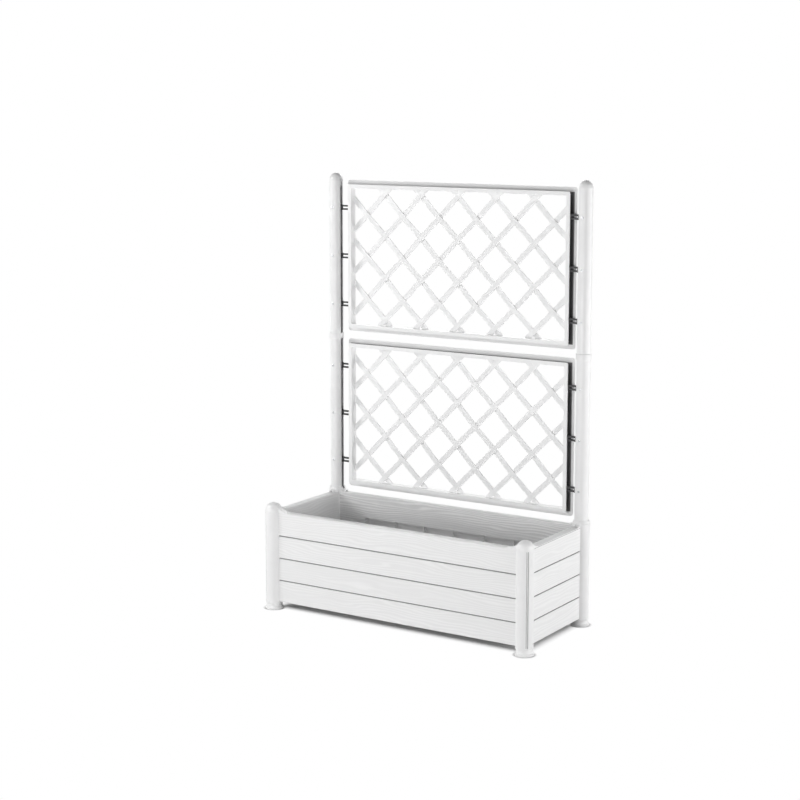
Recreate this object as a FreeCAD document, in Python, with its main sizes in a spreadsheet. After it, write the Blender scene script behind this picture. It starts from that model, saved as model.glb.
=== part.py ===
"""Planter with trellis: a plank-sided plant box on four feet with a two-panel trellis at its back.

Frame: +Z up, +X to the right, +Y to the back, millimetres. The origin is at the bottom centre of
the whole object, on the surface that the feet stand on. The front of the box faces -Y.

The box is four hollow moulded panels whose end tongues drop into slots in four round corner
posts. A ribbed floor rests on ledges inside the panels. The two back posts carry slotted columns,
each in two lengths joined by a sleeve, and the two lattice panels hang between the columns on
forked clips that are screwed into the columns.
"""
import FreeCAD
import Part
import math
import os

import Sketcher

Vector = FreeCAD.Vector
Rotation = FreeCAD.Rotation
Placement = FreeCAD.Placement

UP = Vector(0, 0, 1)
LEFT, RIGHT = -1, 1

# Driving dimensions in millimetres, each with the alias it has in the sheet.
SIZES = {
    "overall_width": 1000,
    "overall_depth": 430,
    "overall_height": 1420,
    # feet
    "foot_radius": 30,
    "foot_height": 26,
    "foot_waist_radius": 26.5,
    "foot_collar_radius": 28.5,
    "foot_recess_radius": 22,
    "foot_recess_height": 14,
    "spigot_length": 20,
    "spigot_wall": 4,
    # box posts
    "post_radius": 27.5,
    "post_bore_radius": 20.5,
    "post_slot_width": 8,
    "post_slot_depth": 5,
    "post_groove_half_width": 6.8,
    "post_groove_depth": 4,
    # box panels
    "panel_top": 327,
    "panel_thickness": 28,
    "panel_face_offset": 10,
    "panel_skin": 6,
    "panel_wall": 4,
    "panel_edge": 2,
    "plank_joint_low": 98.9,
    "plank_joint_middle": 173.4,
    "plank_joint_high": 248.6,
    "joint_half_width": 2,
    "joint_depth": 3.5,
    "panel_stile_width": 125,
    "bottom_rail_height": 30,
    "panel_rib_thickness": 3,
    "panel_rib_depth": 12,
    # floor
    "ledge_height": 16,
    "ledge_depth": 8,
    "ledge_end_gap": 36,
    "floor_thickness": 5,
    "floor_rib_thickness": 4,
    "drain_radius": 6,
    "drain_pitch": 110,
    # caps and collars
    "cap_flange_radius": 28.5,
    "cap_flange_height": 2.5,
    "lug_reach": 37,
    "lug_half_width": 8,
    "lug_height": 5,
    "collar_height": 13,
    "collar_top_radius": 25,
    "collar_seat_height": 3,
    # columns
    "column_radius": 22.5,
    "column_wall": 3.5,
    "column_slot_width": 12,
    "column_split": 868.5,
    "sleeve_half_height": 9.5,
    "sleeve_wall": 2.4,
    "top_cap_flange_radius": 23.4,
    "top_cap_flange_height": 3.5,
    # trellis panels
    "trellis_half_width": 417.5,
    "trellis_half_height": 242.2,
    "trellis_back": 204.5,
    "rim_width": 12.5,
    "rim_depth": 26.5,
    "rim_wall": 4,
    "rim_flange_overhang": 13.5,
    "rim_corner_radius": 10,
    "lower_trellis_level": 602.5,
    "upper_trellis_level": 1141,
    # lattice
    "lattice_half_diagonal": 70.5,
    "slat_width": 17,
    "slat_thickness": 4,
    "slat_back_gap": 1.5,
    "slat_flat": 12,
    # clips and screws
    "clip_pitch": 163.5,
    "fork_width": 8,
    "fork_prong_height": 5.5,
    "fork_prong_offset": 5.6,
    "clip_half_height": 9,
    "clip_block_half_width": 8,
    "clip_block_back": 5,
    "screw_radius": 1.75,
    "screw_length": 22,
    "screw_head_radius": 3.6,
    "screw_head_height": 2,
}

doc = FreeCAD.newDocument("planter_with_trellis")
sheet = doc.addObject("Spreadsheet::Sheet", "Sizes")
for row, (alias, size) in enumerate(SIZES.items(), start=1):
    sheet.set(f"A{row}", alias)
    sheet.set(f"B{row}", str(size))
    sheet.setAlias(f"B{row}", alias)
doc.recompute()


def value(text):
    """Number of an expression on the sheet, such as 'post_radius - 2'."""
    result = sheet.evalExpression(text)
    return float(getattr(result, "Value", result))


def bound(text):
    """The same expression with every alias written as a cell of the sheet."""
    words = []
    word = ""
    for character in text + " ":
        if character.isalnum() or character == "_":
            word += character
            continue
        words.append(f"Sizes.{word}" if word in SIZES else word)
        words.append(character)
        word = ""
    return "".join(words).strip()


# ---------------------------------------------------------------- sketches and features


def new_body(label):
    """An empty body that becomes the node of that name."""
    body = doc.addObject("PartDesign::Body", label)
    body.Label = label
    return body


def new_sketch(body, name, role, level=None):
    """Sketch on one of the body's own origin planes, moved along its normal by level."""
    sketch = body.newObject("Sketcher::SketchObject", name)
    plane = next(item for item in body.Origin.OriginFeatures if item.Role == role)
    sketch.AttachmentSupport = [(plane, "")]
    sketch.MapMode = "FlatFace"
    if level is not None:
        sketch.setExpression("AttachmentOffset.Base.z", bound(level))
    return sketch


def pin(sketch, geometry, point, across, along):
    """Fix one point of a sketch element at (across, along), given as expressions."""
    for kind, text, axis in (("DistanceX", across, -2), ("DistanceY", along, -1)):
        if text == "0":
            sketch.addConstraint(Sketcher.Constraint("PointOnObject", geometry, point, axis))
            continue
        rule = Sketcher.Constraint(kind, -1, 1, geometry, point, value(text))
        index = sketch.addConstraint(rule)
        sketch.setExpression(f"Constraints[{index}]", bound(text))


def outline(sketch, corners):
    """Closed outline of straight edges through corners given as pairs of expressions."""
    points = [Vector(value(across), value(along), 0) for across, along in corners]
    first = sketch.GeometryCount
    for start, end in zip(points, points[1:] + points[:1]):
        sketch.addGeometry(Part.LineSegment(start, end), False)
    for index, (across, along) in enumerate(corners):
        following = first + (index + 1) % len(corners)
        sketch.addConstraint(Sketcher.Constraint("Coincident", first + index, 2, following, 1))
        pin(sketch, first + index, 1, across, along)


def rectangle(sketch, left, bottom, right, top):
    """Upright rectangle between two corners."""
    outline(sketch, [(left, bottom), (right, bottom), (right, top), (left, top)])


def domed_outline(sketch, centre_level, radius, corners):
    """Half section of a domed piece: a quarter arc down from the axis, then the corners."""
    level = value(centre_level)
    size = value(radius)
    arc = Part.Arc(
        Vector(size, level, 0),
        Vector(size * math.cos(math.pi / 4), level + size * math.sin(math.pi / 4), 0),
        Vector(0, level + size, 0),
    )
    points = [Vector(size, level, 0)]
    points += [Vector(value(across), value(along), 0) for across, along in corners]
    dome = sketch.addGeometry(arc, False)
    for start, end in zip(points, points[1:]):
        sketch.addGeometry(Part.LineSegment(start, end), False)
    last = sketch.addGeometry(Part.LineSegment(points[-1], Vector(0, level + size, 0)), False)
    pin(sketch, dome, 3, "0", centre_level)
    pin(sketch, dome, 1, radius, centre_level)
    sketch.addConstraint(Sketcher.Constraint("Coincident", dome + 1, 1, dome, 1))
    for index, (across, along) in enumerate(corners, start=dome + 1):
        sketch.addConstraint(Sketcher.Constraint("Coincident", index + 1, 1, index, 2))
        pin(sketch, index, 2, across, along)
    sketch.addConstraint(Sketcher.Constraint("Coincident", last, 2, dome, 2))
    sketch.addConstraint(Sketcher.Constraint("PointOnObject", dome, 2, -2))


def circle(sketch, across, along, radius):
    """Circle with its centre at (across, along)."""
    centre = Vector(value(across), value(along), 0)
    ring = sketch.addGeometry(Part.Circle(centre, Vector(0, 0, 1), value(radius)), False)
    pin(sketch, ring, 3, across, along)
    index = sketch.addConstraint(Sketcher.Constraint("Radius", ring, value(radius)))
    sketch.setExpression(f"Constraints[{index}]", bound(radius))


def round_rectangle(sketch, half_width, half_height, radius):
    """Rectangle about the sketch origin with rounded corners."""
    across = value(half_width) - value(radius)
    along = value(half_height) - value(radius)
    size = value(radius)
    first = sketch.GeometryCount
    for quarter in range(4):
        sign_x = 1 if quarter in (0, 3) else -1
        sign_y = 1 if quarter in (0, 1) else -1
        ring = Part.Circle(Vector(sign_x * across, sign_y * along, 0), UP, size)
        start = quarter * math.pi / 2
        sketch.addGeometry(Part.ArcOfCircle(ring, start, start + math.pi / 2), False)
    for quarter in range(4):
        arc = sketch.Geometry[first + quarter]
        following = sketch.Geometry[first + (quarter + 1) % 4]
        sketch.addGeometry(Part.LineSegment(arc.EndPoint, following.StartPoint), False)
    for quarter in range(4):
        line = first + 4 + quarter
        following = first + (quarter + 1) % 4
        sketch.addConstraint(Sketcher.Constraint("Tangent", first + quarter, 2, line, 1))
        sketch.addConstraint(Sketcher.Constraint("Tangent", line, 2, following, 1))
        direction = "Horizontal" if quarter % 2 == 0 else "Vertical"
        sketch.addConstraint(Sketcher.Constraint(direction, line))
    for quarter in range(1, 4):
        sketch.addConstraint(Sketcher.Constraint("Equal", first, first + quarter))
    index = sketch.addConstraint(Sketcher.Constraint("Radius", first, size))
    sketch.setExpression(f"Constraints[{index}]", bound(radius))
    pin(sketch, first, 3, f"{half_width} - ({radius})", f"{half_height} - ({radius})")
    pin(sketch, first + 2, 3, f"({radius}) - ({half_width})", f"({radius}) - ({half_height})")


def extrude(body, kind, sketch, length, both_ways=False, backwards=False):
    """Pad or pocket of a sketch; its length is an expression."""
    feature = body.newObject(f"PartDesign::{kind}", f"{sketch.Name}_{kind.lower()}")
    feature.Profile = sketch
    if both_ways:
        feature.SideType = "Symmetric"
    feature.Reversed = backwards
    feature.setExpression("Length", bound(length))
    return feature


def revolve(body, sketch):
    """Full turn of a sketch about its own vertical axis."""
    feature = body.newObject("PartDesign::Revolution", f"{sketch.Name}_turned")
    feature.Profile = sketch
    feature.ReferenceAxis = (sketch, ["V_Axis"])
    feature.Angle = 360
    return feature


def repeat(body, feature, length, occurrences):
    """Row of copies of a feature along the body's X axis."""
    pattern = body.newObject("PartDesign::LinearPattern", f"{feature.Name}_row")
    pattern.Originals = [feature]
    axis = next(item for item in body.Origin.OriginFeatures if item.Role == "X_Axis")
    pattern.Direction = (axis, [""])
    pattern.setExpression("Length", bound(length))
    pattern.Occurrences = occurrences
    body.Tip = pattern
    return pattern


def place(node, position, turn=0):
    """Stand a sub-part at its place, turned about the vertical by whole degrees."""
    node.Placement = Placement(position, Rotation(UP, turn))


POST_X = value("overall_width / 2 - foot_radius")
POST_Y = value("overall_depth / 2 - foot_radius")

# Each corner of the box with the turn that brings the front left corner to it.
CORNERS = {
    "front_left": (Vector(-POST_X, -POST_Y, 0), 0),
    "front_right": (Vector(POST_X, -POST_Y, 0), 90),
    "back_right": (Vector(POST_X, POST_Y, 0), 180),
    "back_left": (Vector(-POST_X, POST_Y, 0), 270),
}


# ---------------------------------------------------------------- feet and corner posts


def build_foot(label):
    """Turned foot: a base flange, a waist and a collar, with a spigot that plugs the post."""
    body = new_body(label)
    section = new_sketch(body, f"{label}_section", "XZ_Plane")
    spigot_top = "foot_height + spigot_length"
    spigot_inside = "post_bore_radius - spigot_wall"
    outline(section, [
        ("0", "foot_recess_height"),
        ("foot_recess_radius", "foot_recess_height"),
        ("foot_recess_radius", "0"),
        ("foot_radius - 1", "0"),
        ("foot_radius", "1"),
        ("foot_radius", "foot_height / 4"),
        ("foot_waist_radius + 1", "foot_height / 4 + 2.5"),
        ("foot_waist_radius", "foot_height / 2 - 1"),
        ("foot_waist_radius", "foot_height - 7"),
        ("foot_collar_radius", "foot_height - 5"),
        ("foot_collar_radius", "foot_height"),
        ("post_bore_radius", "foot_height"),
        ("post_bore_radius", spigot_top),
        (spigot_inside, spigot_top),
        (spigot_inside, "foot_recess_height + spigot_wall"),
        ("0", "foot_recess_height + spigot_wall"),
    ])
    revolve(body, section)
    return body


def build_post(label):
    """Hollow post of the front left corner: two tongue slots and a groove down its outer side."""
    body = new_body(label)
    ring = new_sketch(body, f"{label}_ring", "XY_Plane", "foot_height")
    circle(ring, "0", "0", "post_radius")
    circle(ring, "0", "0", "post_bore_radius")
    extrude(body, "Pad", ring, "panel_top - foot_height")

    slots = new_sketch(body, f"{label}_slots", "XY_Plane", "foot_height")
    near, far = "post_radius - post_slot_depth", "post_radius + 1"
    low, high = "-post_slot_width / 2", "post_slot_width / 2"
    rectangle(slots, near, low, far, high)
    rectangle(slots, low, near, high, far)
    extrude(body, "Pocket", slots, "panel_top - foot_height", backwards=True)

    groove = new_sketch(body, f"{label}_groove", "XY_Plane", "foot_height")
    depth = "-(post_radius - post_groove_depth) * cos(45)"
    wide = "-(post_radius + 1 + post_groove_half_width) * cos(45)"
    narrow = "-(post_radius + 1 - post_groove_half_width) * cos(45)"
    outline(groove, [(depth, depth), (wide, narrow), (narrow, wide)])
    extrude(body, "Pocket", groove, "panel_top - foot_height", backwards=True)
    return body


# ---------------------------------------------------------------- caps and collars of the posts


def add_lugs(body, label):
    """Two lugs that lie over the ends of the neighbouring panels."""
    lugs = new_sketch(body, f"{label}_lugs", "XY_Plane", "panel_top")
    root, tip, shoulder = "post_bore_radius", "lug_reach", "lug_reach - lug_half_width / 2"
    side, half = "lug_half_width", "lug_half_width / 2"
    across = [(root, f"-{side}"), (shoulder, f"-{side}"), (tip, f"-{half}"),
              (tip, half), (shoulder, side), (root, side)]
    outline(lugs, across)
    outline(lugs, [(along, sideways) for sideways, along in across])
    return extrude(body, "Pad", lugs, "lug_height")


def build_post_cap(label):
    """Domed cap of a front post with a spigot below and two lugs over the panels."""
    body = new_body(label)
    section = new_sketch(body, f"{label}_section", "XZ_Plane")
    inside = "post_bore_radius - spigot_wall"
    domed_outline(section, "panel_top + cap_flange_height", "post_radius", [
        ("cap_flange_radius", "panel_top + cap_flange_height"),
        ("cap_flange_radius", "panel_top"),
        ("post_bore_radius", "panel_top"),
        ("post_bore_radius", "panel_top - spigot_length"),
        (inside, "panel_top - spigot_length"),
        (inside, "panel_top + cap_flange_height"),
        ("0", "panel_top + cap_flange_height"),
    ])
    revolve(body, section)
    add_lugs(body, label)
    return body


def build_collar(label):
    """Collar on a back post: closes the post and seats the foot of the column."""
    body = new_body(label)
    section = new_sketch(body, f"{label}_section", "XZ_Plane")
    inside = "post_bore_radius - spigot_wall"
    seat = "panel_top + collar_seat_height"
    outline(section, [
        (inside, "panel_top - spigot_length"),
        ("post_bore_radius", "panel_top - spigot_length"),
        ("post_bore_radius", "panel_top"),
        ("cap_flange_radius", "panel_top"),
        ("cap_flange_radius", "panel_top + collar_seat_height"),
        ("post_radius", "panel_top + collar_seat_height + 1"),
        ("collar_top_radius", "panel_top + collar_height"),
        ("column_radius", "panel_top + collar_height"),
        ("column_radius", seat),
        (inside, seat),
    ])
    revolve(body, section)
    add_lugs(body, label)
    bore = new_sketch(body, f"{label}_bore", "XY_Plane", "panel_top + collar_seat_height")
    circle(bore, "0", "0", "column_radius")
    extrude(body, "Pocket", bore, "collar_height", backwards=True)
    return body


# ---------------------------------------------------------------- box panels and floor


def build_panel(label, span, rib_count):
    """Hollow plank-faced panel between two posts whose axes are span apart.

    The panel's own X runs from post to post and its outer face looks along -Y. The face carries
    four planks with grooves between them. The back has a deep field with ribs, framed by a
    hollow top rail, two hollow stiles and a bottom rail with the ledge for the floor.
    """
    body = new_body(label)
    outside = "-panel_face_offset"
    inside = "panel_thickness - panel_face_offset"
    section = new_sketch(body, f"{label}_section", "YZ_Plane")
    corners = [(f"{outside} + panel_edge", "foot_height"), (outside, "foot_height + panel_edge")]
    for joint in ("plank_joint_low", "plank_joint_middle", "plank_joint_high"):
        corners += [
            (outside, f"{joint} - joint_half_width"),
            (f"{outside} + joint_depth", f"{joint} - joint_half_width / 2"),
            (f"{outside} + joint_depth", f"{joint} + joint_half_width / 2"),
            (outside, f"{joint} + joint_half_width"),
        ]
    corners += [
        (outside, "panel_top - panel_edge"),
        (f"{outside} + panel_edge", "panel_top"),
        (f"{inside} - panel_edge", "panel_top"),
        (inside, "panel_top - panel_edge"),
        (inside, "foot_height"),
    ]
    outline(section, corners)
    chamber_foot = "plank_joint_high + joint_half_width + panel_wall"
    rectangle(section, f"{outside} + panel_wall", chamber_foot,
              f"{inside} - panel_wall", "panel_top - panel_wall")
    extrude(body, "Pad", section, f"{span} - post_bore_radius * 1.5", both_ways=True)

    field = new_sketch(body, f"{label}_field", "XZ_Plane", f"-({inside})")
    field_reach = f"{span} / 2 - panel_stile_width"
    field_foot = "foot_height + bottom_rail_height"
    rectangle(field, f"-({field_reach})", field_foot, field_reach, "plank_joint_high")
    extrude(body, "Pocket", field, "panel_thickness - panel_skin", backwards=True)

    stiles = new_sketch(body, f"{label}_stile_chambers", "XY_Plane", "foot_height")
    near = f"{span} / 2 - panel_stile_width + panel_wall"
    far = f"{span} / 2 - post_radius - 2 * panel_wall"
    low, high = f"{outside} + panel_skin", f"{inside} - panel_wall"
    rectangle(stiles, near, low, far, high)
    rectangle(stiles, f"-({far})", low, f"-({near})", high)
    extrude(body, "Pocket", stiles, "plank_joint_high - foot_height - panel_wall", backwards=True)

    ends = new_sketch(body, f"{label}_ends", "XY_Plane", "foot_height")
    circle(ends, f"{span} / 2", "0", "post_radius")
    circle(ends, f"-{span} / 2", "0", "post_radius")
    extrude(body, "Pocket", ends, "panel_top - foot_height", backwards=True)

    tongues = new_sketch(body, f"{label}_tongues", "XY_Plane", "foot_height")
    root = f"{span} / 2 - post_radius - panel_wall"
    tip = f"{span} / 2 - post_radius + post_slot_depth"
    low, high = "-post_slot_width / 2", "post_slot_width / 2"
    rectangle(tongues, root, low, tip, high)
    rectangle(tongues, f"-({tip})", low, f"-({root})", high)
    extrude(body, "Pad", tongues, "panel_top - foot_height")

    ledge = new_sketch(body, f"{label}_ledge", "XY_Plane", "foot_height")
    reach = f"{span} / 2 - ledge_end_gap"
    rectangle(ledge, f"-({reach})", f"{inside} - 1", reach, f"{inside} + ledge_depth")
    extrude(body, "Pad", ledge, "ledge_height")

    rib = new_sketch(body, f"{label}_rib", "XY_Plane", field_foot + " - 1")
    pitch = f"(2 * ({field_reach}) / {rib_count + 1})"
    start = f"-({field_reach}) + {pitch} - panel_rib_thickness / 2"
    skin = f"{outside} + panel_skin"
    rectangle(rib, start, f"{skin} - 1", f"{start} + panel_rib_thickness",
              f"{skin} + panel_rib_depth")
    pad = extrude(body, "Pad", rib, f"plank_joint_high - ({field_foot}) + 2")
    if rib_count > 1:
        repeat(body, pad, f"{pitch} * {rib_count - 1}", rib_count)
    return body


def build_floor(label):
    """Floor plate on the panel ledges: corners cut round the posts, ribs below, drain holes."""
    body = new_body(label)
    level = "foot_height + ledge_height"
    half_width = "overall_width / 2 - foot_radius - panel_thickness + panel_face_offset"
    half_depth = "overall_depth / 2 - foot_radius - panel_thickness + panel_face_offset"
    plate = new_sketch(body, f"{label}_plate", "XY_Plane", level)
    rectangle(plate, f"-({half_width})", f"-({half_depth})", half_width, half_depth)
    extrude(body, "Pad", plate, "floor_thickness")

    ribs = new_sketch(body, f"{label}_long_ribs", "XY_Plane", "foot_height")
    reach = f"{half_width} - 2 * ledge_depth"
    for sign in ("", "-"):
        middle = f"{sign}({half_depth}) / 2"
        rectangle(ribs, f"-({reach})", f"{middle} - floor_rib_thickness / 2",
                  reach, f"{middle} + floor_rib_thickness / 2")
    extrude(body, "Pad", ribs, "ledge_height")

    rib = new_sketch(body, f"{label}_cross_rib", "XY_Plane", "foot_height")
    start = "-3 * drain_pitch - floor_rib_thickness / 2"
    side = f"{half_depth} - 2 * ledge_depth"
    rectangle(rib, start, f"-({side})", f"{start} + floor_rib_thickness", side)
    pad = extrude(body, "Pad", rib, "ledge_height")
    repeat(body, pad, "6 * drain_pitch", 7)

    notches = new_sketch(body, f"{label}_notches", "XY_Plane", "foot_height")
    for across in ("", "-"):
        for along in ("", "-"):
            circle(notches, f"{across}(overall_width / 2 - foot_radius)",
                   f"{along}(overall_depth / 2 - foot_radius)", "post_radius")
    extrude(body, "Pocket", notches, "2 * ledge_height", backwards=True)

    drains = new_sketch(body, f"{label}_drains", "XY_Plane", "foot_height")
    for quarters in (-3, -1, 1, 3):
        circle(drains, "-3.5 * drain_pitch", f"({half_depth}) * {quarters} / 4", "drain_radius")
    holes = extrude(body, "Pocket", drains, "2 * ledge_height", backwards=True)
    repeat(body, holes, "7 * drain_pitch", 8)
    return body


# ---------------------------------------------------------------- columns, sleeves and top caps


CLIP_STEPS = (-1, 0, 1)


def build_column(label, foot, head, trellis_level, side):
    """Slotted tube from foot to head; its slot looks along +X at the trellis.

    The screw holes go through the wall that faces the front once the column is in its place.
    """
    body = new_body(label)
    ring = new_sketch(body, f"{label}_ring", "XY_Plane", foot)
    circle(ring, "0", "0", "column_radius")
    circle(ring, "0", "0", "column_radius - column_wall")
    extrude(body, "Pad", ring, f"{head} - ({foot})")

    slot = new_sketch(body, f"{label}_slot", "XY_Plane", foot)
    rectangle(slot, "column_radius / 2", "-column_slot_width / 2",
              "column_radius + 1", "column_slot_width / 2")
    extrude(body, "Pocket", slot, f"{head} - ({foot})", backwards=True)

    holes = new_sketch(body, f"{label}_screw_holes", "XZ_Plane")
    for step in CLIP_STEPS:
        circle(holes, "0", f"{trellis_level} + {step} * clip_pitch", "screw_radius")
    extrude(body, "Pocket", holes, "column_radius + 1", backwards=side == LEFT)
    return body


def build_sleeve(label):
    """Short sleeve over the joint of the two column lengths."""
    body = new_body(label)
    section = new_sketch(body, f"{label}_section", "XZ_Plane")
    outside = "column_radius + sleeve_wall"
    low, high = "column_split - sleeve_half_height", "column_split + sleeve_half_height"
    outline(section, [
        ("column_radius", low),
        (f"{outside} - 1", low),
        (outside, f"{low} + 1"),
        (outside, f"{high} - 1"),
        (f"{outside} - 1", high),
        ("column_radius", high),
    ])
    revolve(body, section)
    return body


def build_top_cap(label):
    """Domed plug in the top of a column."""
    body = new_body(label)
    section = new_sketch(body, f"{label}_section", "XZ_Plane")
    dome_foot = "overall_height - column_radius"
    rim_foot = f"{dome_foot} - top_cap_flange_height"
    bore = "column_radius - column_wall"
    domed_outline(section, dome_foot, "column_radius", [
        ("top_cap_flange_radius", f"{dome_foot} - 1"),
        ("top_cap_flange_radius", rim_foot),
        (bore, rim_foot),
        (bore, f"{rim_foot} - spigot_length"),
        (f"{bore} - spigot_wall", f"{rim_foot} - spigot_length"),
        (f"{bore} - spigot_wall", dome_foot),
        ("0", dome_foot),
    ])
    revolve(body, section)
    return body


# ---------------------------------------------------------------- trellis panels


def build_rim(label):
    """Rim of a trellis panel: a channel, open outwards, whose back flange is the wider one.

    The rim stands in the XZ plane about its own centre, with its back face at Y = 0.
    """
    body = new_body(label)
    inner_width = "trellis_half_width - rim_width"
    inner_height = "trellis_half_height - rim_width"
    rings = {
        "back_flange": ("rim_flange_overhang", "rim_corner_radius", "0", "rim_wall"),
        "web": ("rim_wall - rim_width", "rim_wall + 1", "0", "rim_depth"),
        "front_flange": ("0", "rim_corner_radius / 2", "rim_depth - rim_wall", "rim_wall"),
    }
    for name, (overhang, radius, start, thickness) in rings.items():
        sketch = new_sketch(body, f"{label}_{name}", "XZ_Plane", start)
        round_rectangle(sketch, f"(trellis_half_width + {overhang})",
                        f"(trellis_half_height + {overhang})", radius)
        round_rectangle(sketch, f"({inner_width})", f"({inner_height})", "rim_wall / 2")
        extrude(body, "Pad", sketch, thickness)
    return body


def slat_solid(rising, number, window_width, window_height):
    """One slat of the weave, running at 45 degrees, as a wavy strip of constant thickness.

    rising tells the two directions apart. Crossings lie one lattice_half_diagonal apart in X and
    in Z. Rising slats pass in front at crossings in the odd rows, falling slats in the even ones.
    """
    step = value("lattice_half_diagonal")
    pitch = step * math.sqrt(2)
    flat = value("slat_flat")
    thickness = value("slat_thickness")
    back = -value("slat_back_gap")
    lean = 1 if rising else -1
    reach = int(max(window_width, window_height) / step) + 2
    front_line, back_line = [], []
    for column in range(-reach, reach + 1):
        row = lean * (column - number)
        outside = abs(row) * step > window_height + pitch or abs(column) * step > window_width + pitch
        if outside:
            continue
        in_front = (row % 2 == 1) == rising
        level = back - thickness if in_front else back
        for side in (-flat, flat):
            along = column * pitch + side
            back_line.append((along, level))
            front_line.append((along, level - thickness))
    profile = [Vector(along, depth, 0) for along, depth in back_line + front_line[::-1]]
    face = Part.Face(Part.makePolygon(profile + profile[:1]))
    strip = face.extrude(Vector(0, 0, value("slat_width")))
    strip.translate(Vector(0, 0, -value("slat_width") / 2))
    strip.rotate(Vector(0, 0, 0), Vector(0, 1, 0), -45 * lean)
    strip.translate(Vector(0, 0, -number * step * lean))
    return strip


def build_lattice():
    """Woven slats of one trellis panel, cut off inside the walls of its rim."""
    margin = value("rim_wall") / 2
    width = value("trellis_half_width - rim_width") + margin
    height = value("trellis_half_height - rim_width") + margin
    last = int((width + height) / value("lattice_half_diagonal")) // 2 * 2 - 1
    slats = [
        slat_solid(rising, number, width, height)
        for rising in (True, False)
        for number in range(-last, last + 1, 2)
    ]
    weave = slats[0].multiFuse(slats[1:])
    depth = value("rim_depth")
    window = Part.makeBox(2 * width, depth, 2 * height, Vector(-width, -depth, -height))
    return weave.common(window)


def build_trellis(label, level):
    """Trellis panel: the woven lattice and its rim, moulded in one piece."""
    rim = build_rim(f"{label}_rim")
    doc.recompute()
    lattice = doc.addObject("Part::Feature", f"{label}_lattice")
    lattice.Shape = build_lattice()
    panel = doc.addObject("Part::MultiFuse", label)
    panel.Label = label
    panel.Shapes = [rim, lattice]
    panel.Refine = True
    place(panel, Vector(0, value("trellis_back"), value(level)))
    return panel


# ---------------------------------------------------------------- clips and screws


def build_clips(label, side):
    """The six forked clips of one column, each from inside its slot to the trellis channel."""
    axis = value("trellis_back") - POST_Y
    channel_front = axis - value("rim_depth - rim_wall")
    channel_back = axis - value("rim_wall")
    channel_foot = POST_X - value("trellis_half_width - rim_width + rim_wall")
    channel_mouth = POST_X - value("trellis_half_width")
    half = value("clip_half_height")
    block = value("clip_block_half_width")
    neck = value("column_slot_width") / 2
    bore = value("column_radius - column_wall")
    block_end = math.sqrt(bore ** 2 - block ** 2)
    prong = value("fork_prong_height")

    inner = Part.makeBox(value("clip_block_back") + block_end, 2 * block, 2 * half,
                         Vector(-value("clip_block_back"), -block, -half))
    through = Part.makeBox(value("column_radius") + 2, 2 * neck, 2 * half, Vector(0, -neck, -half))
    head = Part.makeBox(channel_foot - channel_mouth, channel_back - channel_front, 2 * half,
                        Vector(channel_mouth, channel_front, -half))
    prongs = [
        Part.makeBox(channel_foot, value("fork_width"), prong,
                     Vector(0, channel_front, sign * value("fork_prong_offset") - prong / 2))
        for sign in (-1, 1)
    ]
    clip = inner.multiFuse([through, head] + prongs)
    hole = Part.makeCylinder(value("screw_radius"), 4 * block, Vector(0, -2 * block, 0),
                             Vector(0, 1, 0))
    clip = clip.cut(hole).removeSplitter()
    if side == RIGHT:
        clip = clip.mirror(Vector(0, 0, 0), Vector(1, 0, 0))
    copies = []
    for height in clip_levels():
        copy = clip.copy()
        copy.translate(Vector(side * POST_X, POST_Y, height))
        copies.append(copy)
    return group(label, copies)


def clip_levels():
    """Heights of the clips on one column, from the lowest up."""
    return [
        value(f"{level} + {step} * clip_pitch")
        for level in ("lower_trellis_level", "upper_trellis_level")
        for step in CLIP_STEPS
    ]


def build_screws(label, side):
    """The six screws of one column, each through its front wall into a clip."""
    head_foot = value("column_radius")
    shank = Part.makeCylinder(value("screw_radius"), value("screw_length"),
                              Vector(0, -head_foot, 0), Vector(0, 1, 0))
    head = Part.makeCone(value("screw_head_radius"), value("screw_head_radius") / 2,
                         value("screw_head_height"), Vector(0, -head_foot, 0), Vector(0, -1, 0))
    screw = shank.fuse(head)
    copies = []
    for height in clip_levels():
        copy = screw.copy()
        copy.translate(Vector(side * POST_X, POST_Y, height))
        copies.append(copy)
    return group(label, copies)


def group(label, solids):
    """Several equal pieces as one node."""
    node = doc.addObject("Part::Feature", label)
    node.Label = label
    node.Shape = Part.makeCompound(solids)
    return node


# ---------------------------------------------------------------- the whole planter


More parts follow.
